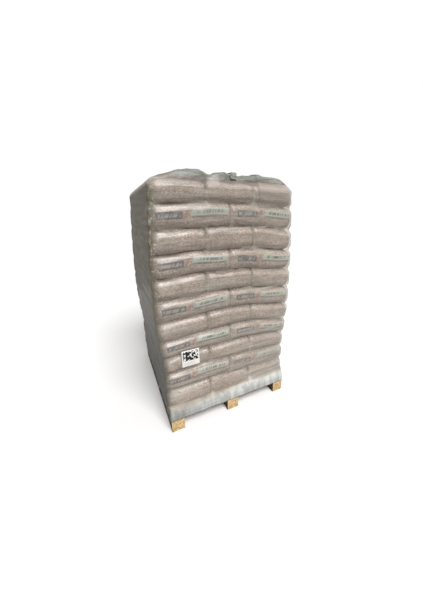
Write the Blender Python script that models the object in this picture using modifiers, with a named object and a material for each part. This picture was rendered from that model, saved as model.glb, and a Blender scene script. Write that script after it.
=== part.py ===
"""Pallet of sacks: a four-way wooden pallet with eleven layers of filled sacks under a film hood.

Units are metres. X runs along the pallet's 1.0 m front, Y along its 1.2 m side with the front
at -Y, and Z is up. The origin is on the floor under the middle of the pallet.
"""
import math

import bmesh
import bpy
import numpy as np

# Pallet
pallet_width = 1.000
pallet_depth = 1.200
board_thickness = 0.022
block_height = 0.078
block_width = 0.096
block_length = 0.145
deck_board_count = 7
deck_board_width = 0.115
wood_edge = 0.002
seat_gap = 0.0003

# Stack of sacks
layer_count = 11
sack_height = 0.145
top_crown = 0.008
sack_edge = 0.040
press = 0.001
edge_segments = 2

# Waist of the stack's left and right faces, below its belly
waist_depth = 0.020
waist_height = 0.50
waist_reach = 0.17

# Seams between the layers: they drift up and down, arch in the middle and sag at the sides, and the
# bottom layer stands high at its left. They bend along the fold lines, and run straight between them
seam_drift = 0.012
seam_arch = 0.015
sag_left = 0.006
sag_right = 0.032
sag_starts, sag_ends = 0.10, 0.52
heel_rise = 0.028
fold_lines = (-0.25, 0.12, 0.40)
fold_ends = 0.62

# Faces of the stack, worked out for the bottom, middle and top of its height
stack_left = (-0.507, -0.530, -0.484)
stack_right = (0.521, 0.573, 0.541)
stack_front = (-0.552, -0.562, -0.568)
stack_back = (0.574, 0.580, 0.572)

# Depth of the long sacks and of the two cross rows behind or before them
long_share = 0.5 / (0.5 + 2 * 0.333)
cross_share = (1 - long_share) / 2

# Film hood
film_thickness = 0.001
film_gap = 0.0015
hem_height = 0.096
ring_step = 0.030
side_counts = (15, 5, 9, 5)
side_pinch = 0.005
end_pinch = 0.008
film_corner = sack_edge + film_gap
hem_corner = 0.006
film_tuck = 0.010

# The hood's top: its rounded edge, where its film lies, and the loose folds that stand along it
shoulder_round = 0.045
shoulder_lift = 0.012
top_bed = 0.023
front_ruffle = 0.047
back_ruffle = 0.030
right_ruffle = 0.018
top_insets = (0.0, 0.013, shoulder_round, 0.12, 0.20, 0.34)

# Label, stuck to the hood's front; x and z of its lower left corner
label_size = 0.130
label_thickness = 0.001
label_left = -0.380
label_bottom = 0.492

pallet_height = 3 * board_thickness + block_height
layer_pitch = sack_height + seat_gap
stack_base = pallet_height + seat_gap
stack_height = layer_count * layer_pitch
stack_top = stack_base + stack_height


def clear_scene():
    """Start from an empty scene."""
    for thing in list(bpy.data.objects):
        bpy.data.objects.remove(thing, do_unlink=True)


def make_collection(name):
    """A collection under the scene for the parts."""
    collection = bpy.data.collections.new(name)
    bpy.context.scene.collection.children.link(collection)
    return collection


def make_material(name, colour, roughness, alpha=1.0):
    """A plain Principled material."""
    material = bpy.data.materials.new(name)
    material.use_nodes = True
    shader = material.node_tree.nodes["Principled BSDF"]
    shader.inputs["Base Color"].default_value = (*colour, 1.0)
    shader.inputs["Roughness"].default_value = roughness
    shader.inputs["Metallic"].default_value = 0.0
    shader.inputs["Alpha"].default_value = alpha
    return material


def box_mesh(name, size):
    """A box around its own origin."""
    mesh = bpy.data.meshes.new(name)
    shape = bmesh.new()
    bmesh.ops.create_cube(shape, size=1.0)
    bmesh.ops.scale(shape, vec=size, verts=shape.verts)
    shape.to_mesh(mesh)
    shape.free()
    return mesh


def add_object(name, mesh, collection, material, location=(0, 0, 0)):
    """Put a mesh in the scene as one named piece."""
    piece = bpy.data.objects.new(name, mesh)
    piece.location = location
    collection.objects.link(piece)
    mesh.materials.append(material)
    return piece


def add_bevel(piece, width, segments):
    """Round a piece's edges."""
    bevel = piece.modifiers.new("edges", "BEVEL")
    bevel.width = width
    bevel.segments = segments
    bevel.limit_method = "NONE"


def add_board(name, size, centre, collection, material):
    """A sawn board or block with broken edges."""
    piece = add_object(name, box_mesh(name, size), collection, material, centre)
    add_bevel(piece, wood_edge, 1)


def spread(count, length, width):
    """Centres of pieces spread evenly over a length, with the outer ones flush with its ends."""
    first = -(length - width) / 2
    step = (length - width) / (count - 1)
    return [first + i * step for i in range(count)]


def build_pallet(collection):
    """Bottom boards, blocks, stringer boards and deck boards, each a seat gap above the last."""
    material = make_material("pallet_wood", (0.72, 0.52, 0.30), 0.8)
    sides = ("left", "middle", "right")
    rows = ("front", "middle", "rear")
    columns = spread(3, pallet_width, block_width)
    lines = spread(3, pallet_depth, block_length)

    board_top = board_thickness
    block_top = board_top + block_height
    stringer_top = block_top + board_thickness
    for side, x in zip(sides, columns):
        size = (block_width, pallet_depth, board_thickness)
        add_board("bottom_board_" + side, size, (x, 0, board_thickness / 2), collection, material)

    size = (block_width, block_length, block_height - seat_gap)
    z = (board_top + seat_gap + block_top) / 2
    for row, y in zip(rows, lines):
        for side, x in zip(sides, columns):
            add_board("block_" + row + "_" + side, size, (x, y, z), collection, material)

    size = (pallet_width, block_length, board_thickness - seat_gap)
    z = (block_top + seat_gap + stringer_top) / 2
    for row, y in zip(rows, lines):
        add_board("stringer_board_" + row, size, (0, y, z), collection, material)

    size = (deck_board_width, pallet_depth, board_thickness - seat_gap)
    z = (stringer_top + seat_gap + pallet_height) / 2
    for i, x in enumerate(spread(deck_board_count, pallet_width, deck_board_width)):
        add_board("deck_board_" + str(i + 1), size, (x, 0, z), collection, material)


def face_at(levels, z):
    """A stack face's coordinate at height z: a parabola through its bottom, middle and top."""
    bottom, middle, top = levels
    t = (z - stack_base) / stack_height
    return bottom * (1 - t) * (1 - 2 * t) + 4 * middle * t * (1 - t) + top * t * (2 * t - 1)


def layer_faces(z):
    """Left, right, front and back faces of the stack at height z."""
    sides = (stack_left, stack_right, stack_front, stack_back)
    left, right, front, back = (face_at(levels, z) for levels in sides)
    waist = waist_depth * math.exp(-(((z - waist_height) / waist_reach) ** 2))
    return [left + waist, right - waist, front, back]


def smooth_step(value, low, high):
    """A smooth step from 0 to 1, also downwards where low is the higher value."""
    t = min(max((value - low) / (high - low), 0), 1)
    return t * t * (3 - 2 * t)


def hump(value, middle, reach):
    """A smooth bump of height 1."""
    return math.exp(-(((value - middle) / reach) ** 2))


def seam_curve(seam, x):
    """How far a seam, counted from the deck up, lies above its level place."""
    t = seam / layer_count
    loose = min(1, seam / 1.5) * (0.15 if seam == layer_count else 1)
    drift = seam_drift * math.cos(1.9 * math.pi * t + 0.2)
    arch = seam_arch * math.cos(math.pi * x / 1.05)
    sag = sag_right * smooth_step(x, sag_starts, sag_ends) + sag_left * smooth_step(-x, sag_starts, sag_ends)
    heel = heel_rise * hump(seam, 1.2, 1.2) * smooth_step(-x, -0.2, 0.5)
    return loose * (drift + arch + heel - sag * math.sin(math.pi * t))


def seam_rise(seam, x):
    """The seam's curve in straight stretches between the fold lines, which keeps the seam's faces flat."""
    lines = (-fold_ends, *fold_lines, fold_ends)
    return float(np.interp(x, lines, [seam_curve(seam, line) for line in lines]))


def settled(x, z):
    """Height that a point of the level stack has once its layers have settled."""
    place = min(max((z - stack_base) / layer_pitch, 0), layer_count)
    seam = min(int(place), layer_count - 1)
    share = place - seam
    return z + (1 - share) * seam_rise(seam, x) + share * seam_rise(seam + 1, x)


def layer_cells(index, z):
    """Plan of one layer's seven sacks, as (x0, x1, y0, y1), three ends at the front or the back."""
    left, right, front, back = layer_faces(z)
    ends_at_front = index % 2 == 0
    width = right - left
    depth = back - front
    if ends_at_front:
        rows = ((0, long_share, 3), (long_share, long_share + cross_share, 2),
                (long_share + cross_share, 1, 2))
    else:
        rows = ((0, cross_share, 2), (cross_share, 2 * cross_share, 2), (2 * cross_share, 1, 3))
    cells = []
    for start, end, count in rows:
        for i in range(count):
            x0 = left + width * i / count
            x1 = left + width * (i + 1) / count
            cells.append((x0, x1, front + depth * start, front + depth * end))
    return cells


def sack_object(cell, faces, bottom, height):
    """One rounded sack, pressed a little into its neighbours but not past the stack's faces."""
    left, right, front, back = faces
    x0 = max(cell[0] - press, left)
    x1 = min(cell[1] + press, right)
    y0 = max(cell[2] - press, front)
    y1 = min(cell[3] + press, back)
    piece = bpy.data.objects.new("sack", box_mesh("sack", (x1 - x0, y1 - y0, height)))
    piece.location = ((x0 + x1) / 2, (y0 + y1) / 2, bottom + height / 2)
    bpy.context.scene.collection.objects.link(piece)
    add_bevel(piece, sack_edge, edge_segments)
    return piece


def evaluated_mesh(piece, name):
    """The mesh that a piece's modifiers leave, in the piece's own space."""
    bpy.context.view_layer.update()
    graph = bpy.context.evaluated_depsgraph_get()
    mesh = bpy.data.meshes.new_from_object(piece.evaluated_get(graph))
    mesh.name = name
    return mesh


def settle_layer(mesh):
    """Fold a level layer along the fold lines, so that it follows its seams."""
    shape = bmesh.new()
    shape.from_mesh(mesh)
    for line in fold_lines:
        parts = list(shape.verts) + list(shape.edges) + list(shape.faces)
        bmesh.ops.bisect_plane(shape, geom=parts, plane_co=(line, 0, 0), plane_no=(1, 0, 0), dist=1e-6)
    bmesh.ops.triangulate(shape, faces=list(shape.faces))
    for vertex in shape.verts:
        vertex.co.z = settled(vertex.co.x, vertex.co.z)
    shape.to_mesh(mesh)
    shape.free()


def build_layer(index, collection, material):
    """One layer: seven sacks joined where they press together, with the gaps left between them."""
    bottom = stack_base + index * layer_pitch
    middle = bottom + sack_height / 2
    is_top = index == layer_count - 1
    height = sack_height + top_crown if is_top else sack_height
    faces = layer_faces(middle)
    sacks = [sack_object(cell, faces, bottom, height) for cell in layer_cells(index, middle)]
    for other in sacks[1:]:
        join = sacks[0].modifiers.new("join", "BOOLEAN")
        join.operation = "UNION"
        join.solver = "EXACT"
        join.object = other
    name = "sack_layer_" + str(index + 1).zfill(2)
    mesh = evaluated_mesh(sacks[0], name)
    mesh.transform(sacks[0].matrix_world)
    settle_layer(mesh)
    for sack in sacks:
        bpy.data.objects.remove(sack, do_unlink=True)
    layer = add_object(name, mesh, collection, material)
    mesh.shade_smooth()
    mesh.set_sharp_from_angle(angle=math.radians(50))
    return layer


def build_sacks(collection):
    """All the layers, bottom first."""
    material = make_material("sack_film", (0.42, 0.33, 0.27), 0.4)
    for index in range(layer_count):
        build_layer(index, collection, material)


def side_points(start, end, count):
    """Points inside a straight side, without its ends."""
    steps = [i / (count + 1) for i in range(1, count + 1)]
    return [(start[0] + (end[0] - start[0]) * t, start[1] + (end[1] - start[1]) * t) for t in steps]


def ring_outline(left, right, front, back, radius):
    """A rounded rectangle in plan, with extra points along its sides for the ruffled top."""
    corners = ((left, front, 180), (right, front, 270), (right, back, 0), (left, back, 90))
    arcs = []
    for x, y, first_angle in corners:
        centre_x = x + radius if x == left else x - radius
        centre_y = y + radius if y == front else y - radius
        arc = []
        for i in range(edge_segments + 1):
            angle = math.radians(first_angle + 90 * i / edge_segments)
            arc.append((centre_x + radius * math.cos(angle), centre_y + radius * math.sin(angle)))
        arcs.append(arc)
    points = []
    for i, arc in enumerate(arcs):
        points += arc
        points += side_points(arc[-1], arcs[(i + 1) % 4][0], side_counts[i])
    return points


def ring_normals():
    """Outward directions of a ring's points, in their order."""
    normals = []
    for first_angle, count in zip((180, 270, 0, 90), side_counts):
        turns = [first_angle + 90 * i / edge_segments for i in range(edge_segments + 1)]
        turns += [first_angle + 90] * count
        normals += [(math.cos(math.radians(turn)), math.sin(math.radians(turn))) for turn in turns]
    return normals


def front_folds(x):
    """Loose film above the front top edge, from the left to the right."""
    ends = smooth_step(x, -0.485, -0.33) * smooth_step(x, 0.55, 0.44)
    left = 0.012 * hump(x, -0.23, 0.10) - 0.016 * hump(x, -0.125, 0.035)
    right = 0.010 * hump(x, -0.02, 0.06) - 0.016 * hump(x, 0.10, 0.04) + 0.004 * hump(x, 0.25, 0.06)
    return ends * (front_ruffle + left + right)


def loose_film(x, y, across, along):
    """How far the film stands above the top's edge, on a side that faces across and along."""
    back = (back_ruffle + 0.010 * math.sin(11 * x + 0.5)) * smooth_step(abs(x - 0.02), 0.53, 0.36)
    right = (right_ruffle + 0.008 * math.sin(9 * y + 1.0)) * smooth_step(abs(y), 0.57, 0.40)
    return max(-along, 0) ** 2 * front_folds(x) + max(along, 0) ** 2 * back + max(across, 0) ** 2 * right


def grown(z, sides, ends):
    """The stack's faces at height z, moved outwards at its left and right and at its front and back."""
    left, right, front, back = layer_faces(z)
    return (left - sides, right + sides, front - ends, back + ends)


def deck_rings():
    """The hood's lowest rings: its hem, the deck's top edge, and the tuck over the ledge of the deck."""
    half_width = pallet_width / 2 + film_gap
    half_depth = pallet_depth / 2 + film_gap
    deck = (-half_width, half_width, -half_depth, half_depth)
    lowest = stack_base + sack_height / 2
    tuck_height = stack_base + 0.3 * sack_edge
    ratio = (tuck_height - pallet_height) / (lowest - ring_step - pallet_height)
    tucked = []
    for edge, face, sign in zip(deck, grown(lowest, film_gap, film_gap), (-1, 1, -1, 1)):
        straight = edge + (face - edge) * ratio
        tucked.append(sign * max(sign * straight, sign * face - film_tuck))
    edge = ring_outline(*deck, hem_corner)
    rings = [[(x, y, z) for x, y in edge] for z in (hem_height, pallet_height + film_gap)]
    return rings + [[(x, y, tuck_height) for x, y in ring_outline(*tucked, film_corner)]]


def side_rings():
    """The hood's rings over the crest of each layer and into the seam above it."""
    rings = []
    for index in range(layer_count):
        middle = stack_base + index * layer_pitch + sack_height / 2
        crest = ring_outline(*grown(middle, film_gap, film_gap), film_corner)
        for z in (middle - ring_step, middle + ring_step):
            rings.append([(x, y, z) for x, y in crest])
        seam = middle + layer_pitch / 2
        if index < layer_count - 1:
            pinched = grown(seam, film_gap - side_pinch, film_gap - end_pinch)
            rings.append([(x, y, seam) for x, y in ring_outline(*pinched, film_corner * 0.7)])
    return rings


def top_rings():
    """The hood's rings from its rounded top edge towards the middle of its top."""
    highest = stack_top - layer_pitch / 2
    rings = []
    for inset in top_insets:
        margin = film_gap - inset
        outline = ring_outline(*grown(highest, margin, margin), max(film_corner - 2 * inset, film_corner / 4))
        flat = 1 - min(inset / shoulder_round, 1)
        edge = shoulder_lift - shoulder_round * (1 - math.sqrt(1 - flat ** 2))
        bed = (top_bed - shoulder_lift) * smooth_step(inset, 0.05, 0.14)
        loose = smooth_step(inset, 0.004, 0.032) * (1 - 0.92 * smooth_step(inset, 0.06, 0.34))
        rings.append([(x, y, stack_top + edge + bed + loose * loose_film(x, y, *normal))
                      for (x, y), normal in zip(outline, ring_normals())])
    return rings


def hood_rings():
    """Rings of the hood's inner surface, from the hem to the middle of its top, settled with the stack."""
    rings = deck_rings() + side_rings() + top_rings()
    return [[(x, y, settled(x, z)) for x, y, z in ring] for ring in rings]


def build_hood(collection):
    """The hood of film: rings joined by faces, closed at the top, open at the hem, then thickened."""
    shape = bmesh.new()
    rings = [[shape.verts.new(point) for point in ring] for ring in hood_rings()]
    for lower, upper in zip(rings, rings[1:]):
        count = len(lower)
        for i in range(count):
            j = (i + 1) % count
            shape.faces.new((lower[i], lower[j], upper[j], upper[i]))
    last = rings[-1]
    middle_x = sum(v.co.x for v in last) / len(last)
    middle_y = sum(v.co.y for v in last) / len(last)
    centre = shape.verts.new((middle_x, middle_y, stack_top + top_bed))
    for i, vertex in enumerate(last):
        shape.faces.new((vertex, last[(i + 1) % len(last)], centre))
    mesh = bpy.data.meshes.new("film_hood")
    shape.to_mesh(mesh)
    shape.free()
    mesh.shade_smooth()
    material = make_material("stretch_film", (0.78, 0.80, 0.78), 0.25, 0.35)
    hood = add_object("film_hood", mesh, collection, material)
    wall = hood.modifiers.new("wall", "SOLIDIFY")
    wall.thickness = film_thickness
    wall.offset = 1.0
    wall.use_even_offset = True


def build_label(collection):
    """A square label on the hood, spanning the bulges of two layers."""
    centre_z = label_bottom + label_size / 2
    front = face_at(stack_front, label_bottom + label_size + ring_step)
    y = front - film_gap - film_thickness - seat_gap - label_thickness / 2
    material = make_material("label_paper", (0.85, 0.84, 0.80), 0.6)
    mesh = box_mesh("label", (label_size, label_thickness, label_size))
    place = (label_left + label_size / 2, y, centre_z)
    add_object("label", mesh, collection, material, place)


def main():
    clear_scene()
    collection = make_collection("pallet_of_sacks")
    build_pallet(collection)
    build_sacks(collection)
    build_hood(collection)
    build_label(collection)


main()
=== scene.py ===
"""Looks of a wooden pallet loaded with film sacks of wood pellets under a clear film hood.

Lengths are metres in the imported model's own frame: X along the front, Y to the back, Z up.
"""

import math

import bpy
import numpy as np
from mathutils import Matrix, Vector


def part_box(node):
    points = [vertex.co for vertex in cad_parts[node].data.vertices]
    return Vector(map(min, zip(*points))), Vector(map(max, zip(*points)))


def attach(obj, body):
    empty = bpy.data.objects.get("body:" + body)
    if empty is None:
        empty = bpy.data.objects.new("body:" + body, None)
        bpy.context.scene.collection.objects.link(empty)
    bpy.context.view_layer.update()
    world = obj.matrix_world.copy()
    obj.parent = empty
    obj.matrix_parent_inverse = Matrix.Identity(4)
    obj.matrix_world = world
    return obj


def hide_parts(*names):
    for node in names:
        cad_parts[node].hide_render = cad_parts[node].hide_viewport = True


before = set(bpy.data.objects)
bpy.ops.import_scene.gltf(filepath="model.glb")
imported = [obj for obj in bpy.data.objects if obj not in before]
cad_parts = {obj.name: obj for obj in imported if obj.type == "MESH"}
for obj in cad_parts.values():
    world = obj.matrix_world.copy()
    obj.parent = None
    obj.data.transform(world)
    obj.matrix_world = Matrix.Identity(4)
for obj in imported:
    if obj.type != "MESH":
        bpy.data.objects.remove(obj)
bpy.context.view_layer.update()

# Camera: its place, its heading to the right of straight in, its dip, lens and shift
camera_place = (-0.717, -2.075, 1.538)
camera_heading = math.radians(28.74)
camera_dip = math.radians(16.81)
camera_lens = 14.436
camera_shift = (-0.052, -0.0188)

# Light: one broad soft source above and before the front, and the room's light, dimmer from the left
key_from = (0.03, -0.62, 0.78)
key_strength = 3.6
key_spread = math.radians(35)
room_light = 0.38
room_left = (0.30, 0.26, 0.20, 1)
backdrop_white = 1.0
floor_bounce = 0.38
floor_reach = 3.6

# Stack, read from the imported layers
layer_names = sorted(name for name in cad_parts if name.startswith("sack_layer_"))
layer_boxes = [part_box(name) for name in layer_names]
layer_count = len(layer_names)
layer_pitch = 0.1453
stack_base = layer_boxes[0][0].z
stack_top = stack_base + layer_count * layer_pitch

# Seven sacks to a layer: a row of three end-on and two rows of two lengthwise
long_share = 0.5 / (0.5 + 2 * 0.333)
cross_share = (1 - long_share) / 2

# Sacks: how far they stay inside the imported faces, their roundings and their swelling
sack_inset = 0.004
sack_side_round = 0.056
sack_pressed_round = 0.007
sack_roll_round = 0.060
sack_crown = 0.004
sack_top_crown = 0.010
sack_gap = 0.0006
sack_lump = 0.0016
sack_tuck = 0.0025
sack_grid = 0.020
sack_edge_cells = 5

# How the seams between the layers wander: drift, arch, sag at the sides and the bottom layer's high heel
seam_drift = 0.012
seam_arch = 0.015
sag_left = 0.006
sag_right = 0.032
sag_starts, sag_ends = 0.10, 0.52
heel_rise = 0.028
seam_wave = 0.003

# Hood
hood_gap = 0.002
hem_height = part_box("film_hood")[0].z
deck_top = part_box("deck_board_1")[1].z
deck_cling = 0.0025
hood_cell = 0.012
hood_corner = 0.048
hood_corner_cells = 7
pallet_corner = 0.006
seam_pinch = 0.013
corner_pinch = 0.003
left_taut = 0.70
strip_place = (-0.515, -0.595)
strip_reach = 0.055
strip_crinkle = 0.0022
gap_pinch = 0.0035
gap_reach = 0.016
label_margin = 0.04
shoulder_round = 0.055
shoulder_lift = 0.010
top_bed = 0.023
crown_reach = 0.515
front_ruffle = 0.047
film_wrinkle = 0.0014
film_crumple = 0.006
film_clear = 0.0065
weld_place = 0.028
weld_reach = 0.53
ear_left, ear_right = 0.024, 0.069
ear_low, ear_high = 1.768, 1.807
ear_front = -0.566


def srgb(red, green, blue):
    """A linear colour from 8-bit display values."""
    parts = [value / 255 for value in (red, green, blue)]
    return (*[v / 12.92 if v <= 0.04045 else ((v + 0.055) / 1.055) ** 2.4 for v in parts], 1.0)


class Surface:
    """A Principled material with short calls that add and link its nodes."""

    def __init__(self, name, constants):
        self.material = bpy.data.materials.new(name)
        self.material.use_nodes = True
        self.tree = self.material.node_tree
        self.shader = self.tree.nodes["Principled BSDF"]
        for socket, value in constants.items():
            self.shader.inputs[socket].default_value = value

    def drive(self, socket, source):
        """Link a value to one of the shader's sockets."""
        self.tree.links.new(source, self.shader.inputs[socket])

    def add(self, kind, sockets, output=0, **settings):
        """Add a node with its settings and sockets, and return one of its outputs."""
        node = self.tree.nodes.new("ShaderNode" + kind)
        for key, value in settings.items():
            setattr(node, key, value)
        for key, value in sockets.items():
            if isinstance(value, bpy.types.NodeSocket):
                self.tree.links.new(value, node.inputs[key])
            else:
                node.inputs[key].default_value = value
        return node.outputs[output]

    def place(self):
        """Place on the object, in metres."""
        return self.add("TexCoord", {}, "Object")

    def attribute(self, name, output="Vector"):
        """A mesh attribute."""
        return self.add("Attribute", {}, output, attribute_name=name)

    def split(self, vector):
        """The three parts of a vector."""
        node = self.tree.nodes.new("ShaderNodeSeparateXYZ")
        self.tree.links.new(vector, node.inputs[0])
        return list(node.outputs)

    def math(self, operation, *values, clamp=False):
        """Arithmetic on single values."""
        return self.add("Math", dict(enumerate(values)), operation=operation, use_clamp=clamp)

    def total(self, *values):
        """The sum of several values, held between 0 and 1."""
        result = values[0]
        for value in values[1:]:
            result = self.math("ADD", result, value)
        return self.math("MULTIPLY", result, 1.0, clamp=True)

    def product(self, *values):
        """The product of several values."""
        result = values[0]
        for value in values[1:]:
            result = self.math("MULTIPLY", result, value)
        return result

    def scaled(self, vector, scale):
        """A vector with each part scaled."""
        return self.add("VectorMath", {0: vector, 1: scale}, operation="MULTIPLY")

    def mix(self, factor, first, second):
        """Blend two colours."""
        return self.add("Mix", {0: factor, 6: first, 7: second}, 2, data_type="RGBA")

    def shade(self, colour, factor):
        """Darken or brighten a colour by a factor."""
        return self.add("VectorMath", {0: colour, "Scale": factor}, operation="SCALE")

    def noise(self, vector, scale, detail=2.0, roughness=0.5, distortion=0.0):
        """Soft noise from 0 to 1."""
        sockets = {"Vector": vector, "Scale": scale, "Detail": detail}
        sockets.update({"Roughness": roughness, "Distortion": distortion})
        return self.add("TexNoise", sockets)

    def ramp(self, value, low, high, start=0.0, end=1.0):
        """A smooth step from start to end as the value goes from low to high."""
        sockets = {"Value": value, "From Min": low, "From Max": high, "To Min": start, "To Max": end}
        return self.add("MapRange", sockets, interpolation_type="SMOOTHSTEP")

    def between(self, value, low, high, soft):
        """1 between two values and 0 outside them, with soft edges."""
        rise = self.ramp(value, low - soft, low + soft)
        return self.product(rise, self.ramp(value, high - soft, high + soft, 1.0, 0.0))

    def bump(self, height, distance, normal=None, strength=1.0):
        """Relief from a height, on top of an earlier relief."""
        sockets = {"Height": height, "Distance": distance, "Strength": strength}
        if normal is not None:
            sockets["Normal"] = normal
        return self.add("Bump", sockets)


def ripples(points, wavelengths, seed, waves=14):
    """Smooth random relief of about unit size, with a wavelength along each axis."""
    draw = np.random.default_rng(seed)
    directions = draw.normal(size=(waves, 3))
    directions /= np.linalg.norm(directions, axis=1)[:, None]
    directions *= draw.uniform(0.6, 1.5, (waves, 1)) * 2 * math.pi / np.array(wavelengths)
    phases = draw.uniform(0, 2 * math.pi, waves)
    return np.sin(points @ directions.T + phases).sum(1) / math.sqrt(waves / 2)


def smooth_step(values, low, high):
    """A smooth step from 0 to 1, also downwards where low is the higher value."""
    t = np.clip((np.asarray(values, float) - low) / (high - low), 0, 1)
    return t * t * (3 - 2 * t)


def bell(values, middle, reach):
    """A smooth bump of height 1."""
    return np.exp(-(((np.asarray(values, float) - middle) / reach) ** 2))


def make_piece(name, points, faces, material, attributes=None):
    """A mesh piece from points and faces, shaded smooth, with float or vector attributes."""
    mesh = bpy.data.meshes.new(name)
    mesh.from_pydata(points.tolist(), [], [tuple(face) for face in faces])
    mesh.materials.append(material)
    mesh.shade_smooth()
    for key, values in (attributes or {}).items():
        kind = "FLOAT" if values.ndim == 1 else "FLOAT_VECTOR"
        layer = mesh.attributes.new(key, kind, "POINT")
        layer.data.foreach_set("value" if values.ndim == 1 else "vector", values.ravel())
    piece = bpy.data.objects.new(name, mesh)
    bpy.context.scene.collection.objects.link(piece)
    return piece


def grid_faces(rows, columns, closed=False, first=0):
    """Quads of a grid of points; a closed grid joins its last column to its first."""
    row, column = np.meshgrid(np.arange(rows - 1), np.arange(columns - (not closed)), indexing="ij")
    after = (column + 1) % columns
    corners = (row * columns + column, row * columns + after)
    quads = np.stack([corners[0], corners[1], corners[1] + columns, corners[0] + columns], -1)
    return (quads.reshape(-1, 4) + first).tolist()


def face_places():
    """Heights of the layers' middles, and there the faces at the left, right, front and back."""
    heights = stack_base + layer_pitch * (np.arange(layer_count) + 0.5)
    left = np.array([low.x for low, high in layer_boxes])
    right = np.array([high.x for low, high in layer_boxes])
    front = np.array([low.y for low, high in layer_boxes])
    back = np.array([high.y for low, high in layer_boxes])
    return heights, left, right, front, back


layer_heights, left_faces, right_faces, front_faces, back_faces = face_places()


def seam_height(seam, x, y):
    """Height of a seam, counted from the deck up."""
    t = seam / layer_count
    loose = min(1.0, seam / 1.5) * (0.15 if seam == layer_count else 1.0)
    drift = seam_drift * math.cos(1.9 * math.pi * t + 0.2)
    arch = seam_arch * np.cos(math.pi * x / 1.05)
    sag = sag_right * smooth_step(x, sag_starts, sag_ends) + sag_left * smooth_step(-x, sag_starts, sag_ends)
    heel = heel_rise * bell(seam, 1.2, 1.2) * smooth_step(-x, -0.2, 0.5)
    spots = np.stack(np.broadcast_arrays(x, y, 3.0 * seam), -1).reshape(-1, 3)
    wave = seam_wave * ripples(spots, (0.35, 0.35, 1.0), 40).reshape(np.shape(x + y))
    shift = drift + arch + heel - sag * math.sin(math.pi * t) + wave
    return stack_base + seam * layer_pitch + loose * shift


def layer_cells(index):
    """Sacks of a layer: x and y spans, and whether each lies along Y."""
    left, right = left_faces[index], right_faces[index]
    front, back = front_faces[index], back_faces[index]
    depth = back - front
    if index % 2 == 0:
        bounds = [front, front + long_share * depth]
        bounds += [bounds[1] + cross_share * depth, back]
        rows = (3, 2, 2)
    else:
        bounds = [front, front + cross_share * depth]
        bounds += [bounds[1] + cross_share * depth, back]
        rows = (2, 2, 3)
    cells = []
    for low, high, count in zip(bounds, bounds[1:], rows):
        edges = np.linspace(left, right, count + 1)
        cells += [(a, b, low, high, count == 3) for a, b in zip(edges, edges[1:])]
    return cells


def stations(half, rounding, cell):
    """Places along one axis of a rounded box, close together in its rounded ends."""
    core = half - rounding
    cells = max(2, round(2 * core / cell))
    angles = np.linspace(0, math.pi / 4, sack_edge_cells + 1)[1:]
    end = core + rounding * np.tan(angles)
    return np.concatenate([-end[::-1], np.linspace(-core, core, cells + 1), end]) / half


def box_shell(places):
    """Points and quads of the surface of a box, from its places along each axis."""
    counts = [len(p) for p in places]
    numbers = -np.ones(counts, int)
    inner = np.zeros(counts, bool)
    inner[1:-1, 1:-1, 1:-1] = True
    at = np.argwhere(~inner)
    numbers[tuple(at.T)] = np.arange(len(at))
    points = np.stack([places[axis][at[:, axis]] for axis in range(3)], -1)
    quads = []
    for axis in range(3):
        others = [a for a in range(3) if a != axis]
        for end in (0, counts[axis] - 1):
            side = np.take(numbers, end, axis)
            quad = np.stack([side[:-1, :-1], side[1:, :-1], side[1:, 1:], side[:-1, 1:]], -1).reshape(-1, 4)
            outward = (end > 0) == (others != [0, 2])
            quads.append(quad if outward else quad[:, ::-1])
    return points, np.concatenate(quads)


def sack_shape(length, width, height, outer, template):
    """A filled sack about its middle, along X: a pillow whose outer sides swell.

    outer says which of its sides are the stack's own faces: minus and plus length, minus and
    plus width, and the top. It returns the points, their outward directions and how far each
    lies on an outer side.
    """
    half = np.array([length, width, height]) / 2
    low = [sack_side_round if outer[0] else sack_pressed_round,
           sack_side_round if outer[2] else sack_pressed_round, sack_roll_round]
    high = [sack_side_round if outer[1] else sack_pressed_round,
            sack_side_round if outer[3] else sack_pressed_round, sack_roll_round]
    box = template * half
    rounding = np.where(box < 0, low, high)
    core = np.clip(box, -(half - np.array(low)), half - np.array(high))
    away = (box - core) / rounding
    away /= np.linalg.norm(away, axis=1)[:, None]
    points = core + away * rounding
    share = points / half
    sides = np.stack([np.maximum(-away[:, 0], 0) * outer[0] + np.maximum(away[:, 0], 0) * outer[1],
                      np.maximum(-away[:, 1], 0) * outer[2] + np.maximum(away[:, 1], 0) * outer[3],
                      np.maximum(away[:, 2], 0) * outer[4]], -1)
    flat = 1 - np.clip(np.abs(share), 0, 1) ** 2
    swell = sack_crown * (sides[:, 0] * flat[:, 1] * flat[:, 2] + sides[:, 1] * flat[:, 0] * flat[:, 2])
    points += away * swell[:, None]
    points[:, 2] += sack_top_crown * sides[:, 2] * flat[:, 0] * flat[:, 1]
    return points, away, sides


def hood_face(z, pallet, faces, outward):
    """Place of one of the hood's sides at a height: on the deck's edge, then over each layer's crest."""
    heights = np.concatenate([[hem_height, deck_top + 0.002], layer_heights])
    places = np.concatenate([[pallet, pallet], faces + outward * hood_gap])
    return np.interp(z, heights, places)


def hood_sides(z):
    """Places of the hood's left, right, front and back at a height, before seams draw them in."""
    first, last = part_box("deck_board_1"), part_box("deck_board_7")
    return (hood_face(z, first[0].x - deck_cling, left_faces, -1),
            hood_face(z, last[1].x + deck_cling, right_faces, 1),
            hood_face(z, first[0].y - deck_cling, front_faces, -1),
            hood_face(z, first[1].y + deck_cling, back_faces, 1))


def kept_inside(points):
    """Press a sack's points flat where they would stand through the film."""
    left, right, front, back = hood_sides(points[:, 2])
    x = np.clip(points[:, 0], left + film_clear, right - film_clear)
    y = np.clip(points[:, 1], front + film_clear, back - film_clear)
    return np.stack([x, y, points[:, 2]], -1)


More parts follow.
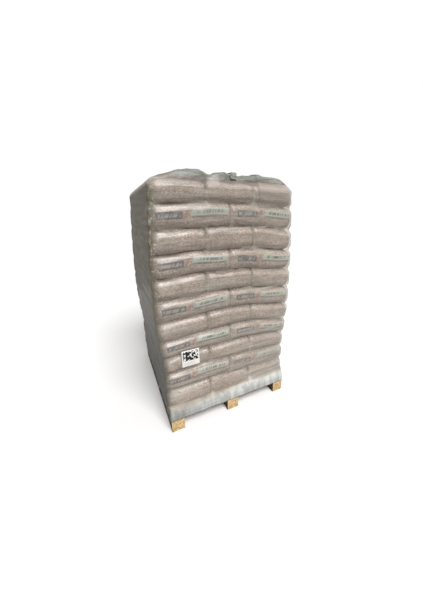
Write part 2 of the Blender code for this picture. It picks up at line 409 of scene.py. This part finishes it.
def sack_layer(index, materials):
    """One layer's seven sacks as one piece."""
    draw = np.random.default_rng(100 + index)
    all_points, all_faces, all_places, all_draws = [], [], [], []
    count = 0
    left, right = left_faces[index], right_faces[index]
    front, back = front_faces[index], back_faces[index]
    for x0, x1, y0, y1, endways in layer_cells(index):
        outside = [x0 == left, x1 == right, y0 == front, y1 == back]
        insets = [sack_inset if out else sack_gap / 2 for out in outside]
        x0, x1 = x0 + insets[0], x1 - insets[1]
        y0, y1 = y0 + insets[2], y1 - insets[3]
        size = (y1 - y0, x1 - x0) if endways else (x1 - x0, y1 - y0)
        outer = [outside[2], outside[3], outside[1], outside[0]] if endways else outside
        outer = [float(out) for out in (*outer, index == layer_count - 1)]
        places = [stations(size[0] / 2, sack_side_round, sack_grid),
                  stations(size[1] / 2, sack_side_round, sack_grid),
                  stations(layer_pitch / 2, sack_roll_round, sack_grid)]
        template, faces = box_shell(places)
        points, away, sides = sack_shape(*size, layer_pitch, outer, template)
        local = points.copy()
        seed = 1000 + 10 * index + len(all_points)
        lumps = ripples(local, (0.16, 0.16, 0.09), seed) * sack_lump
        tucks = -np.abs(ripples(local, (0.30, 0.30, 0.035), seed + 500)) * sack_tuck
        loose = np.clip(sides.sum(1), 0, 1)
        points += away * ((lumps + tucks * smooth_step(np.abs(local[:, 2]), 0.01, 0.05)) * loose)[:, None]
        if endways:
            points = np.stack([-points[:, 1], points[:, 0], points[:, 2]], -1)
        points[:, :2] += ((x0 + x1) / 2, (y0 + y1) / 2)
        rise = points[:, 2] / layer_pitch + 0.5
        floor = seam_height(index, points[:, 0], points[:, 1])
        roof = seam_height(index + 1, points[:, 0], points[:, 1])
        points[:, 2] = floor + (roof - floor) * rise
        points = kept_inside(points)
        shift = draw.uniform(-1, 1, 3) * (0.012, 0.006, 0)
        printed = 1 if y1 == back - sack_inset and not endways else -1
        turned = np.full(len(points), -float(printed))
        side = np.maximum(away[:, 1] * printed, 0) * outer[3 if printed > 0 else 2]
        all_places.append(np.stack([local[:, 0] * turned + shift[0], local[:, 2] + shift[1], side], -1))
        all_draws.append(np.tile(draw.uniform(0, 1, 3), (len(points), 1)))
        all_points.append(points)
        all_faces.append(faces + count)
        count += len(points)
    name = layer_names[index].replace("sack_layer", "sacks")
    piece = make_piece(name, np.concatenate(all_points), np.concatenate(all_faces).tolist(),
                       materials["sack"],
                       {"sack_place": np.concatenate(all_places), "sack_draw": np.concatenate(all_draws)})
    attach(piece, "root")
    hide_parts(layer_names[index])
    return piece


def hood_stations():
    """Stations round the hood from its front left corner.

    Each is the share of the way across, the share of the way back, and the outward normal.
    """
    wide = right_faces.max() - left_faces.min()
    deep = back_faces.max() - front_faces.min()
    across = round((wide - 2 * hood_corner) / hood_cell)
    along = round((deep - 2 * hood_corner) / hood_cell)
    parts = []
    for start, end, cells, heading in (((0, 0), (1, 0), across, -90), ((1, 0), (1, 1), along, 0),
                                       ((1, 1), (0, 1), across, 90), ((0, 1), (0, 0), along, 180)):
        share = np.linspace(0, 1, cells + 1)[:, None]
        spots = np.array(start) + (np.array(end) - np.array(start)) * share
        angle = math.radians(heading)
        turn = np.radians(heading + np.linspace(0, 90, hood_corner_cells + 1)[1:-1])
        parts.append(np.column_stack([spots, np.tile((math.cos(angle), math.sin(angle)), (cells + 1, 1))]))
        parts.append(np.column_stack([np.tile(end, (len(turn), 1)), np.cos(turn), np.sin(turn)]))
    return np.concatenate(parts)


def hood_ring(z, inset, radius, spots):
    """Points of a ring round the hood at a height, drawn in from its sides."""
    left, right, front, back = hood_sides(z)
    left, right, front, back = left + inset, right - inset, front + inset, back - inset
    x = left + radius + (right - left - 2 * radius) * spots[:, 0] + radius * spots[:, 2]
    y = front + radius + (back - front - 2 * radius) * spots[:, 1] + radius * spots[:, 3]
    return np.stack([x, y, np.full(len(spots), z)], -1)


def seam_pull(points, normals):
    """How far the film is drawn in at the seams and gaps between sacks; it is taut on the left."""
    away = np.full(len(points), 1.0)
    for seam in range(1, layer_count):
        away = np.minimum(away, np.abs(points[:, 2] - seam_height(seam, points[:, 0], points[:, 1])))
    closeness = (1 - smooth_step(away, 0.0, 0.042)) ** 1.3
    pull = closeness * (seam_pinch + corner_pinch * 2 * np.abs(normals[:, 0] * normals[:, 1]))
    gaps = np.zeros(len(points))
    for index in range(layer_count):
        near = bell(points[:, 2], layer_heights[index], layer_pitch * 0.42)
        cells = layer_cells(index)
        for edge in sorted({x1 for x0, x1, y0, y1, endways in cells if y0 == front_faces[index]})[:-1]:
            gaps += near * bell(points[:, 0], edge, gap_reach) * np.maximum(-normals[:, 1], 0)
        for edge in sorted({x1 for x0, x1, y0, y1, endways in cells if y1 == back_faces[index]})[:-1]:
            gaps += near * bell(points[:, 0], edge, gap_reach) * np.maximum(normals[:, 1], 0)
        for edge in sorted({y1 for x0, x1, y0, y1, endways in cells})[:-1]:
            gaps += near * bell(points[:, 1], edge, gap_reach) * np.maximum(normals[:, 0], 0)
    pull = pull + gap_pinch * gaps
    low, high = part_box("label")
    across = (smooth_step(points[:, 0], low.x - label_margin, low.x)
              * smooth_step(points[:, 0], high.x + label_margin, high.x))
    upward = (smooth_step(points[:, 2], low.z - label_margin, low.z)
              * smooth_step(points[:, 2], high.z + label_margin, high.z))
    on_label = across * upward * np.maximum(-normals[:, 1], 0)
    taut = 1 - left_taut * np.maximum(-normals[:, 0], 0)
    closeness = closeness * (1 - np.maximum(-normals[:, 0], 0))
    return pull * taut * (1 - on_label), closeness, np.clip(gaps, 0, 1)


def corner_strip(points):
    """How near a place is to the crinkled strip where the film turns the front left corner."""
    x, y = strip_place
    return bell(points[:, 0], x, strip_reach) * bell(points[:, 1], y, strip_reach)


def hood_body(spots):
    """The hood's sides from its hem to where its top begins to round over."""
    top = stack_top + shoulder_lift - shoulder_round
    rows = round((top - hem_height) / hood_cell)
    normals = np.column_stack([spots[:, 2], spots[:, 3], np.zeros(len(spots))])
    rings = []
    for z in np.linspace(hem_height, top, rows + 1):
        radius = np.interp(z, [deck_top, deck_top + 0.10], [pallet_corner, hood_corner])
        rings.append(hood_ring(z, 0.0, radius, spots))
    body = np.concatenate(rings)
    normals = np.tile(normals, (rows + 1, 1))
    pull, closeness, gaps = seam_pull(body, normals)
    wrinkle = -np.abs(ripples(body, (0.35, 0.35, 0.05), 7)) * film_wrinkle
    cling = smooth_step(body[:, 2], deck_top, deck_top + 0.08)
    hem = smooth_step(body[:, 2], deck_top + 0.01, hem_height) * ripples(body, (0.07, 0.07, 0.2), 8)
    crinkle = -np.abs(ripples(body, (0.03, 0.03, 0.05), 9)) * strip_crinkle * corner_strip(body)
    body += normals * ((wrinkle + crinkle - pull) * cling + hem * film_wrinkle)[:, None]
    marks = np.stack([closeness, np.maximum(-normals[:, 0], 0), corner_strip(body)], -1)
    return body.reshape(rows + 1, len(spots), 3), marks, gaps


def front_humps(x):
    """Loose film above the front top edge, from the left to the right."""
    ends = smooth_step(x, -0.485, -0.33) * smooth_step(x, 0.55, 0.44)
    folds = 0.012 * bell(x, -0.23, 0.10) - 0.016 * bell(x, -0.125, 0.035) + 0.010 * bell(x, -0.02, 0.06)
    return ends * (front_ruffle + folds - 0.016 * bell(x, 0.10, 0.04) + 0.004 * bell(x, 0.25, 0.06))


def hood_rise(ring, spots):
    """How far the loose film stands above the top's edge: a ruffle at the front, tight on the left."""
    across, along = ring[:, 0], ring[:, 1]
    front = np.maximum(-spots[:, 3], 0) ** 2
    back = np.maximum(spots[:, 3], 0) ** 2
    right = np.maximum(spots[:, 2], 0) ** 2
    back_folds = 0.030 + 0.010 * np.sin(11 * across + 0.5) + 0.006 * np.sin(29 * across)
    right_folds = 0.018 + 0.008 * np.sin(9 * along + 1.0) + 0.004 * np.sin(31 * along)
    ends = smooth_step(np.abs(across - 0.02), 0.53, 0.36)
    sides = smooth_step(np.abs(along), 0.57, 0.40)
    return front * front_humps(across) + back * back_folds * ends + right * right_folds * sides


def hood_crown(spots):
    """The hood's top: it rounds over from its sides, stands in loose folds and lies on the top sacks."""
    start = stack_top + shoulder_lift - shoulder_round
    edge = hood_ring(start, 0.0, hood_corner, spots)
    rise = hood_rise(edge, spots)
    turns = np.radians(np.linspace(0, 90, 9)[1:])
    arc = [(shoulder_round * (1 - math.cos(turn)), -shoulder_round * (1 - math.sin(turn))) for turn in turns]
    shares = np.linspace(0, 1, 25)[1:] ** 1.4
    flat = [(inset, 0.0) for inset in shoulder_round + (crown_reach - shoulder_round) * shares]
    rings = []
    for inset, drop in arc + flat:
        radius = max(hood_corner * (1 - inset), 0.002) if inset < 0.45 else 0.002
        points = hood_ring(start, inset, radius, spots)
        share = smooth_step(inset, 0.004, 0.032) * (1 - 0.92 * smooth_step(inset, 0.06, 0.34))
        bed = shoulder_lift + (top_bed - shoulder_lift) * smooth_step(inset, 0.05, 0.14)
        loose = smooth_step(inset, 0.01, 0.06)
        crumple = np.abs(ripples(points, (0.17,) * 3, 11))
        crumple = crumple + 0.35 * np.abs(ripples(points, (0.06,) * 3, 12))
        points[:, 2] = stack_top + bed + drop + rise * share + loose * film_crumple * (crumple - 0.9)
        rings.append(points)
    return np.stack(rings)


def grid_normals(grid):
    """Outward normals of a grid of points whose rows go up and columns go round."""
    up = np.gradient(grid, axis=0)
    along = np.gradient(grid, axis=1)
    normals = np.cross(along, up)
    return normals / np.linalg.norm(normals, axis=2)[:, :, None]


def build_hood(material):
    """The hood as one continuous sheet, from its hem over the stack to the middle of its top."""
    spots = hood_stations()
    body, marks, gaps = hood_body(spots)
    grid = np.concatenate([body, hood_crown(spots)])
    rows, columns = grid.shape[:2]
    above = rows * columns - len(marks)
    marks = np.concatenate([marks, np.zeros((above, 3))])
    gaps = np.concatenate([gaps, np.zeros(above)])
    faces = grid_faces(rows, columns, closed=True)
    faces.append(list(range((rows - 1) * columns, rows * columns)))
    piece = make_piece("hood", grid.reshape(-1, 3), faces, material,
                       {"hood_mark": marks, "gap_mark": gaps})
    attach(piece, "root")
    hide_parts("film_hood")
    return grid


def build_fold(name, grid, spans, lift, material):
    """A fold of the hood lying on its front: the film's own surface over a span, lifted a little."""
    (left, right), (low, high) = spans
    ring = grid[20]
    front_half = range(grid.shape[1] // 2)
    columns = [c for c in front_half if left < ring[c, 0] < right and ring[c, 1] < -0.4]
    rows = [r for r in range(grid.shape[0]) if low < grid[r, columns[0], 2] < high]
    rows = list(range(rows[0], rows[-1] + 1))
    window = np.ix_(rows, columns)
    patch = grid[window] + grid_normals(grid)[window] * lift
    piece = make_piece(name, patch.reshape(-1, 3), grid_faces(len(rows), len(columns)), material)
    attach(piece, "root")


def build_weld(material):
    """The welded fin that closes the hood, from the front to the back of its top, leaning to the right."""
    y = np.linspace(-weld_reach, weld_reach, 100)
    across = np.linspace(0, 1, 5)
    ends = smooth_step(y, -0.42, -0.52) + 0.8 * smooth_step(y, 0.42, 0.52)
    lift = top_bed + front_ruffle * ends
    wave = 0.004 * np.sin(41 * y) + 0.003 * np.sin(97 * y + 1)
    x = weld_place + wave[:, None] * across + 0.034 * across ** 1.2
    rise = 0.020 * np.minimum(1, (y + weld_reach) / 0.06)[:, None]
    z = stack_top + lift[:, None] - 0.006 + rise * np.sin(across * 1.9) + (wave * 0.6)[:, None] * across
    points = np.stack([x, np.tile(y[:, None], (1, 5)), z], -1)
    piece = make_piece("hood_weld", points.reshape(-1, 3), grid_faces(100, 5), material)
    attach(piece, "root")


def ear_bands(look):
    """Cover of the weld's end tab: doubled film with darker folds across it."""
    return look.ramp(look.noise(look.scaled(look.place(), (4.0, 4.0, 130.0)), 1.0, 1.0), 0.4, 0.6, 0.25, 0.6)


def build_ear(material):
    """The square end of the weld, which stands up at the front of the top."""
    across, up = np.meshgrid(np.linspace(0, 1, 9), np.linspace(0, 1, 9))
    curl = 0.004 * np.sin(5 * up + 2 * across)
    x = ear_left + (ear_right - ear_left) * across + 0.0015 * np.sin(9 * up)
    y = ear_front + 0.012 * up + curl
    z = ear_low + (ear_high - ear_low) * up + 0.001 * np.sin(11 * across)
    points = np.stack([x, y, z], -1).reshape(-1, 3)
    piece = make_piece("hood_ear", points, grid_faces(9, 9), material)
    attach(piece, "root")


def build_label(material):
    """The square paper label on the hood's front."""
    low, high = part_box("label")
    cells = 16
    share = np.linspace(0, 1, cells + 1)
    x, z = np.meshgrid(low.x + (high.x - low.x) * share, low.z + (high.z - low.z) * share)
    y = np.full(x.shape, low.y) + 0.002 * np.sin(7 * share)[None, :] * 0.3
    points = np.stack([x, y, z], -1).reshape(-1, 3)
    shares = np.stack([(x - low.x) / (high.x - low.x), (z - low.z) / (high.z - low.z), np.zeros(x.shape)], -1)
    piece = make_piece("paper_label", points, grid_faces(cells + 1, cells + 1), material,
                       {"label_place": shares.reshape(-1, 3)})
    thick = piece.modifiers.new("paper", "SOLIDIFY")
    thick.thickness = 0.0004
    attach(piece, "root")
    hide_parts("label")
    return piece


def print_fields(look, along, up, luck):
    """Plain print fields of a sack's long side: each with its place, its colour and its cover."""
    slant = look.math("MULTIPLY_ADD", up, -0.5, along)
    dark = look.product(look.between(along, -0.225, -0.065, 0.004), look.between(up, -0.014, 0.030, 0.003))
    accent = look.product(look.between(slant, -0.058, -0.036, 0.003), look.between(up, -0.014, 0.036, 0.003))
    banner = look.product(look.between(slant, -0.018, 0.236, 0.002), look.between(up, 0.004, 0.042, 0.002))
    stripe = look.product(look.between(slant, -0.010, 0.235, 0.004), look.between(up, -0.010, 0.002, 0.004))
    bar = look.math("FLOOR", look.math("DIVIDE", slant, 0.0085))
    seed = look.math("MULTIPLY_ADD", luck, 900.0, bar)
    random = look.add("TexWhiteNoise", {"W": seed}, noise_dimensions="1D")
    bars = look.math("GREATER_THAN", random, 0.42)
    pale = look.product(bars, look.between(up, -0.002, 0.018, 0.003),
                        look.between(along, -0.215, -0.078, 0.003))
    deep = look.product(bars, look.between(up, 0.013, 0.032, 0.003),
                        look.between(slant, 0.020, 0.205, 0.003))
    return ((dark, srgb(62, 68, 80), 0.95),
            (pale, srgb(196, 196, 192), 0.80),
            (accent, srgb(160, 92, 84), 0.6),
            (stripe, srgb(84, 96, 92), 0.7),
            (banner, srgb(196, 208, 198), 0.95),
            (deep, srgb(64, 74, 74), 0.85))


def sack_material():
    """Wood pellets behind glossy clear film, with plain print fields on the sacks' long sides; painted shade
    between the pellets and painted highlights on the film.
    """
    look = Surface("sack_film", {"Coat Weight": 1.0, "Coat Roughness": 0.30, "Specular IOR Level": 0.5})
    place = look.place()
    cells = look.add("TexVoronoi", {"Vector": look.scaled(place, (1, 1, 1.5)), "Scale": 95.0}, 0)
    tints = look.add("TexVoronoi", {"Vector": look.scaled(place, (1, 1, 1.5)), "Scale": 95.0}, 1)
    tone = look.split(tints)[0]
    mottle = look.noise(place, 9.0, 3.0, 0.6)
    base = look.mix(look.ramp(mottle, 0.35, 0.65), srgb(178, 159, 146), srgb(198, 179, 165))
    light = look.math("MULTIPLY_ADD", tone, 0.62, 0.74)
    # Darker towards the edges of the pellet cells: painted shade between the pellets
    gaps = look.ramp(cells, 0.30, 0.75, 1.0, 0.60)
    colour = look.shade(base, look.product(light, gaps))

    spot = look.attribute("sack_place")
    luck = look.split(look.attribute("sack_draw"))[0]
    along, up, side = look.split(spot)
    on_side = look.ramp(side, 0.40, 0.60)
    streaks = look.noise(look.scaled(spot, (5.0, 75.0, 1.0)), 1.0, 3.0, 0.55)
    # Pale streaks along the sacks: painted glare of the sacks' film
    glare = look.product(look.ramp(streaks, 0.50, 0.72), 0.40)
    colour = look.mix(glare, colour, srgb(224, 214, 202))
    # Whitish patches on the upper part of the rolls, towards the left and stronger up the stack: painted
    # highlight
    painted_roll_highlight = look.product(look.between(up, 0.002, 0.052, 0.016), look.ramp(look.split(place)[0], -0.20, -0.46),
                         look.ramp(look.noise(place, 22.0, 3.0, 0.6), 0.36, 0.62),
                         look.ramp(look.split(place)[2], 1.72, 1.25, 0.08, 0.45))
    colour = look.mix(painted_roll_highlight, colour, srgb(238, 230, 220))
    worn = look.ramp(look.noise(place, 26.0, 3.0, 0.6), 0.28, 0.55, 0.55, 1.0)
    faded = look.math("MULTIPLY_ADD", luck, 0.2, 0.8)
    for mask, paint, cover in print_fields(look, along, up, luck):
        colour = look.mix(look.product(mask, on_side, worn, faded, cover), colour, paint)
    look.drive("Base Color", colour)
    look.drive("Roughness", look.ramp(streaks, 0.3, 0.7, 0.34, 0.58))
    relief = look.bump(cells, 0.0022, strength=0.6)
    relief = look.bump(streaks, 0.004, relief, 0.6)
    look.drive("Normal", relief)
    return look.material


def hood_veil(look, z, streaks, seam_mark, left_mark, strip):
    """How much the film hides: more where it is folded, edge-on, on the ledge or on the left."""
    x, y = look.split(look.place())[:2]
    front = look.math("SUBTRACT", 1.0, left_mark)
    clouds = look.noise(look.place(), 4.0, 3.0, 0.5)
    facing = look.add("LayerWeight", {"Blend": 0.5}, 1)
    patches = look.noise(look.scaled(look.place(), (7.0, 7.0, 20.0)), 1.0, 3.0, 0.6)
    hem = look.math("ADD", look.ramp(z, 0.150, 0.142, 0.0, 0.35), look.ramp(z, 0.215, 0.165, 0.0, 0.62))
    gap = look.product(look.attribute("gap_mark", "Fac"), 0.34)
    top = look.math("ADD", look.ramp(z, stack_top + 0.005, stack_top + 0.03, 0.0, 0.34),
                    look.ramp(z, 1.35, 1.60, 0.0, 0.07))
    low_right = look.product(look.ramp(x, -0.1, 0.5), look.ramp(z, 0.9, 0.2), 0.16)
    seam = look.product(seam_mark, look.ramp(patches, 0.42, 0.66, -0.10, 0.20))
    band = look.product(look.between(x, -0.135, -0.055, 0.014), look.ramp(z, 1.62, 1.76),
                        look.ramp(y, -0.4, -0.5), 0.32)
    veil = look.total(0.10, look.product(look.ramp(streaks, 0.42, 0.80), front, 0.22),
                      look.ramp(clouds, 0.4, 0.8, 0.0, 0.12), look.product(facing, 0.60),
                      look.product(left_mark, 0.64), seam, gap, hem, top, low_right, band)
    return look.total(veil, look.product(strip, 0.7))


def left_film_painted_shade(look, z):
    """Film of the left side painted a dull olive for the shade that side lies in, streaked up and down, with
    the painted shade growing darker towards the floor.
    """
    bands = look.noise(look.scaled(look.place(), (2.0, 9.0, 0.7)), 1.0, 3.0, 0.6)
    shaded_olive = look.mix(look.ramp(bands, 0.35, 0.65), srgb(134, 120, 98), srgb(140, 138, 116))
    return look.shade(shaded_olive, look.ramp(z, 0.1, 1.35, 0.24, 1.0))


def top_film_painted_shade(look, z):
    """Film of the top painted a dark grey-green for the shade behind it, with painted shade in its creases,
    and brownish where it nears the top sacks.
    """
    creases = look.noise(look.scaled(look.place(), (9.0, 9.0, 60.0)), 1.0, 4.0, 0.65, 0.8)
    grey = look.mix(look.ramp(creases, 0.40, 0.60), srgb(108, 114, 104), srgb(142, 146, 136))
    brown = look.mix(look.ramp(creases, 0.38, 0.60), srgb(120, 102, 90), srgb(172, 154, 142))
    colour = look.mix(look.ramp(z, stack_top + 0.014, stack_top + 0.034), brown, grey)
    # Darkest in the creases: painted shade
    return look.mix(look.ramp(creases, 0.40, 0.32), colour, srgb(92, 82, 74))


def hood_material(name="hood_film", tint=srgb(214, 206, 196), doubled=None):
    """Clear stretch film: a pale veil with streaks; doubled film hides more and has its own tint. Its colour
    carries painted shade on the left side, on the ledge's left and along the hem's lower edge, and painted
    glints and shade in the corner strip.
    """
    look = Surface(name, {"Specular IOR Level": 0.6, "Coat Weight": 0.4, "Coat Roughness": 0.26})
    place = look.place()
    z = look.split(place)[2]
    seam_mark, left_mark, strip_mark = look.split(look.attribute("hood_mark"))
    front = look.math("SUBTRACT", 1.0, left_mark)
    streaks = look.noise(look.scaled(place, (3.0, 3.0, 38.0)), 1.0, 4.0, 0.6)
    flecks = look.noise(look.scaled(place, (55.0, 55.0, 34.0)), 1.0, 3.0, 0.7)
    upper = look.product(strip_mark, look.ramp(z, 0.9, 1.45, 0.25, 1.0))
    # Pale glints and dark specks in the crinkled corner strip: painted glints and painted shade, which also
    # raise the cover
    glints = look.product(upper, look.ramp(flecks, 0.55, 0.60))
    painted_crinkle_shade = look.product(upper, look.ramp(flecks, 0.45, 0.40))
    veil = hood_veil(look, z, streaks, seam_mark, left_mark, look.total(glints, painted_crinkle_shade))
    look.drive("Alpha", look.total(veil, doubled(look)) if doubled else veil)

    colour = look.mix(look.ramp(streaks, 0.4, 0.8), srgb(184, 176, 164), tint)
    # The top's film, with its painted shade
    colour = look.mix(look.ramp(z, stack_top, stack_top + 0.02), colour, top_film_painted_shade(look, z))
    # The left side's film takes its painted shade
    colour = look.mix(left_mark, colour, left_film_painted_shade(look, z))
    creases = look.noise(look.scaled(place, (26.0, 26.0, 2.0)), 1.0, 3.0, 0.6)
    ledge = look.mix(look.ramp(creases, 0.35, 0.65), srgb(166, 166, 162), srgb(200, 202, 198))
    # The ledge's film darker towards the left and darkest on the left side: painted shade
    ledge = look.shade(ledge, look.ramp(look.split(place)[0], -0.48, -0.10, 0.62, 1.0))
    ledge = look.mix(left_mark, ledge, srgb(96, 92, 84))
    colour = look.mix(look.ramp(z, 0.205, 0.160), colour, ledge)
    # A dark line along the hem's lower edge: painted shadow under the hem
    colour = look.mix(look.ramp(z, hem_height + 0.008, hem_height + 0.003), colour, srgb(92, 90, 86))
    # Painted glints, then painted shade of the crinkles
    colour = look.mix(glints, colour, srgb(240, 240, 236))
    colour = look.mix(painted_crinkle_shade, colour, srgb(74, 70, 64))
    look.drive("Base Color", colour)
    matte = look.ramp(z, stack_top - 0.02, stack_top + 0.02, 0.0, 0.22)
    look.drive("Roughness", look.math("ADD", look.ramp(streaks, 0.3, 0.7, 0.28, 0.46), matte))
    look.drive("Normal", look.bump(look.product(streaks, front), 0.003, strength=0.7))
    return look.material


def fold_cover(look):
    """Cover that the doubled film of the right fold adds: a crisp left edge, fading downwards."""
    place = look.split(look.place())
    x, z = place[0], place[2]
    cloth = look.noise(look.scaled(look.place(), (6.0, 6.0, 24.0)), 1.0, 3.0, 0.6, 1.0)
    sheet = look.ramp(cloth, 0.35, 0.65, 0.02, 0.20)
    edge = look.product(look.between(x, 0.219, 0.2275, 0.001), 0.45)
    return look.product(look.math("ADD", sheet, edge), look.ramp(z, 1.625, 1.70))


def wood_material():
    """Sawn pine: grain along the boards, small checks and knots; painted shade on faces turned to the left
    and on upward faces low down.
    """
    look = Surface("pallet_wood", {"Specular IOR Level": 0.3})
    place = look.place()
    grain = look.noise(look.scaled(place, (60.0, 6.0, 60.0)), 1.0, 4.0, 0.6, 0.6)
    tone = look.noise(place, 5.0, 2.0)
    colour = look.mix(look.ramp(grain, 0.35, 0.70), srgb(186, 150, 100), srgb(228, 204, 162))
    colour = look.shade(colour, look.ramp(tone, 0.3, 0.7, 0.90, 1.06))
    knots = look.add("TexVoronoi", {"Vector": look.scaled(place, (9.0, 3.0, 12.0)), "Scale": 1.0}, 0)
    colour = look.mix(look.ramp(knots, 0.13, 0.07, 0.0, 0.8), colour, srgb(120, 82, 52))
    checks = look.noise(look.scaled(place, (16.0, 16.0, 130.0)), 1.0, 2.0, 0.5, 1.5)
    colour = look.mix(look.ramp(checks, 0.33, 0.27, 0.0, 0.7), colour, srgb(104, 76, 52))
    # Faces turned to the left, and upward faces low down under the deck, darkened: painted shade
    normal = look.split(look.add("NewGeometry", {}, "Normal"))
    left = look.ramp(normal[0], -0.5, -0.9, 0.0, 0.9)
    low = look.ramp(look.split(place)[2], 0.06, 0.03, 0.0, 0.9)
    low_top_painted_shade = look.product(look.ramp(normal[2], 0.5, 0.9), low)
    colour = look.mix(look.total(left, low_top_painted_shade), colour, srgb(84, 76, 68))
    look.drive("Base Color", colour)
    look.drive("Roughness", look.ramp(grain, 0.3, 0.7, 0.6, 0.8))
    look.drive("Normal", look.bump(grain, 0.0012, strength=0.5))
    return look.material


def label_material():
    """White paper with random dark blocks on its upper part and faint rows below."""
    look = Surface("label_paper", {"Roughness": 0.55})
    spot = look.attribute("label_place")
    u, v = look.split(spot)[:2]
    paint = srgb(238, 235, 229)
    for count, share in ((9, 0.56), (20, 0.72)):
        cell = look.add("VectorMath", {0: look.scaled(spot, (count, count, 1))}, operation="FLOOR")
        block = look.math("GREATER_THAN", look.add("TexWhiteNoise", {"Vector": cell}), share)
        code = look.product(block, look.between(u, 0.07, 0.93, 0.002), look.between(v, 0.36, 0.94, 0.002))
        paint = look.mix(code, paint, srgb(28, 28, 30))
    rows = look.math("GREATER_THAN", look.math("FRACT", look.math("MULTIPLY", v, 15.0)), 0.62)
    rows = look.product(rows, look.between(u, 0.10, 0.74, 0.004), look.between(v, 0.06, 0.30, 0.002), 0.45)
    look.drive("Base Color", look.mix(rows, paint, srgb(120, 120, 120)))
    return look.material


def floor_material():
    """A pale plain floor, which throws little light back, like a hall's floor."""
    look = Surface("floor", {"Roughness": 0.9, "Specular IOR Level": 0.1})
    tone = look.noise(look.place(), 1.5, 2.0)
    pale = look.mix(tone, (0.90, 0.90, 0.90, 1), (0.92, 0.92, 0.92, 1))
    seen = look.add("LightPath", {}, "Is Camera Ray")
    look.drive("Base Color", look.mix(seen, (floor_bounce, floor_bounce, floor_bounce, 1), pale))
    return look.material


def build_floor():
    """The floor, wide enough to reach the horizon."""
    corners = np.array([(-1, -1, 0), (1, -1, 0), (1, 1, 0), (-1, 1, 0)], float) * floor_reach
    floor = make_piece("floor", corners, [(0, 1, 2, 3)], floor_material())


def build_camera():
    """The camera at the photo's viewing angle."""
    data = bpy.data.cameras.new("camera")
    data.sensor_width = 36
    data.lens = camera_lens
    data.shift_x, data.shift_y = camera_shift
    camera = bpy.data.objects.new("camera", data)
    camera.location = camera_place
    camera.rotation_euler = (math.pi / 2 - camera_dip, 0, -camera_heading)
    bpy.context.scene.collection.objects.link(camera)
    bpy.context.scene.camera = camera


def build_light():
    """The key light and the room's light, dimmer from the left; the camera sees a white backdrop."""
    data = bpy.data.lights.new("key", "SUN")
    data.energy = key_strength
    data.angle = key_spread
    key = bpy.data.objects.new("key", data)
    key.rotation_euler = Vector(key_from).to_track_quat("Z", "Y").to_euler()
    bpy.context.scene.collection.objects.link(key)
    world = bpy.data.worlds.new("studio")
    bpy.context.scene.world = world
    world.use_nodes = True
    nodes, links = world.node_tree.nodes, world.node_tree.links
    room = nodes["Background"]
    room.inputs["Strength"].default_value = room_light
    seen = nodes.new("ShaderNodeBackground")
    seen.inputs["Color"].default_value = (backdrop_white, backdrop_white, backdrop_white, 1)
    direction = nodes.new("ShaderNodeTexCoord")
    across = nodes.new("ShaderNodeSeparateXYZ")
    side = nodes.new("ShaderNodeMapRange")
    side.inputs["From Min"].default_value = -0.8
    side.inputs["From Max"].default_value = 0.1
    tone = nodes.new("ShaderNodeMix")
    tone.data_type = "RGBA"
    tone.inputs[6].default_value = room_left
    tone.inputs[7].default_value = (1, 1, 1, 1)
    links.new(direction.outputs["Generated"], across.inputs[0])
    links.new(across.outputs["X"], side.inputs["Value"])
    links.new(side.outputs["Result"], tone.inputs[0])
    links.new(tone.outputs[2], room.inputs["Color"])
    path = nodes.new("ShaderNodeLightPath")
    blend = nodes.new("ShaderNodeMixShader")
    links.new(path.outputs["Is Camera Ray"], blend.inputs[0])
    links.new(room.outputs[0], blend.inputs[1])
    links.new(seen.outputs[0], blend.inputs[2])
    links.new(blend.outputs[0], nodes["World Output"].inputs[0])
    bpy.context.scene.view_settings.view_transform = "Standard"


def dress_wood(material):
    """Give the pallet's boards and blocks their wood."""
    for name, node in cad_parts.items():
        if name.startswith(("bottom_board", "block", "stringer", "deck")):
            node.data.materials.clear()
            node.data.materials.append(material)


build_camera()
build_light()
build_floor()
materials = {"sack": sack_material()}
for layer in range(layer_count):
    sack_layer(layer, materials)
film = hood_material()
hood_grid = build_hood(film)
doubled_film = hood_material("doubled_film", srgb(208, 192, 184), fold_cover)
build_fold("hood_fold", hood_grid, ((0.222, 0.505), (1.600, 1.800)), 0.0022, doubled_film)
build_weld(film)
build_ear(hood_material("ear_film", srgb(150, 154, 144), ear_bands))
build_label(label_material())
dress_wood(wood_material())
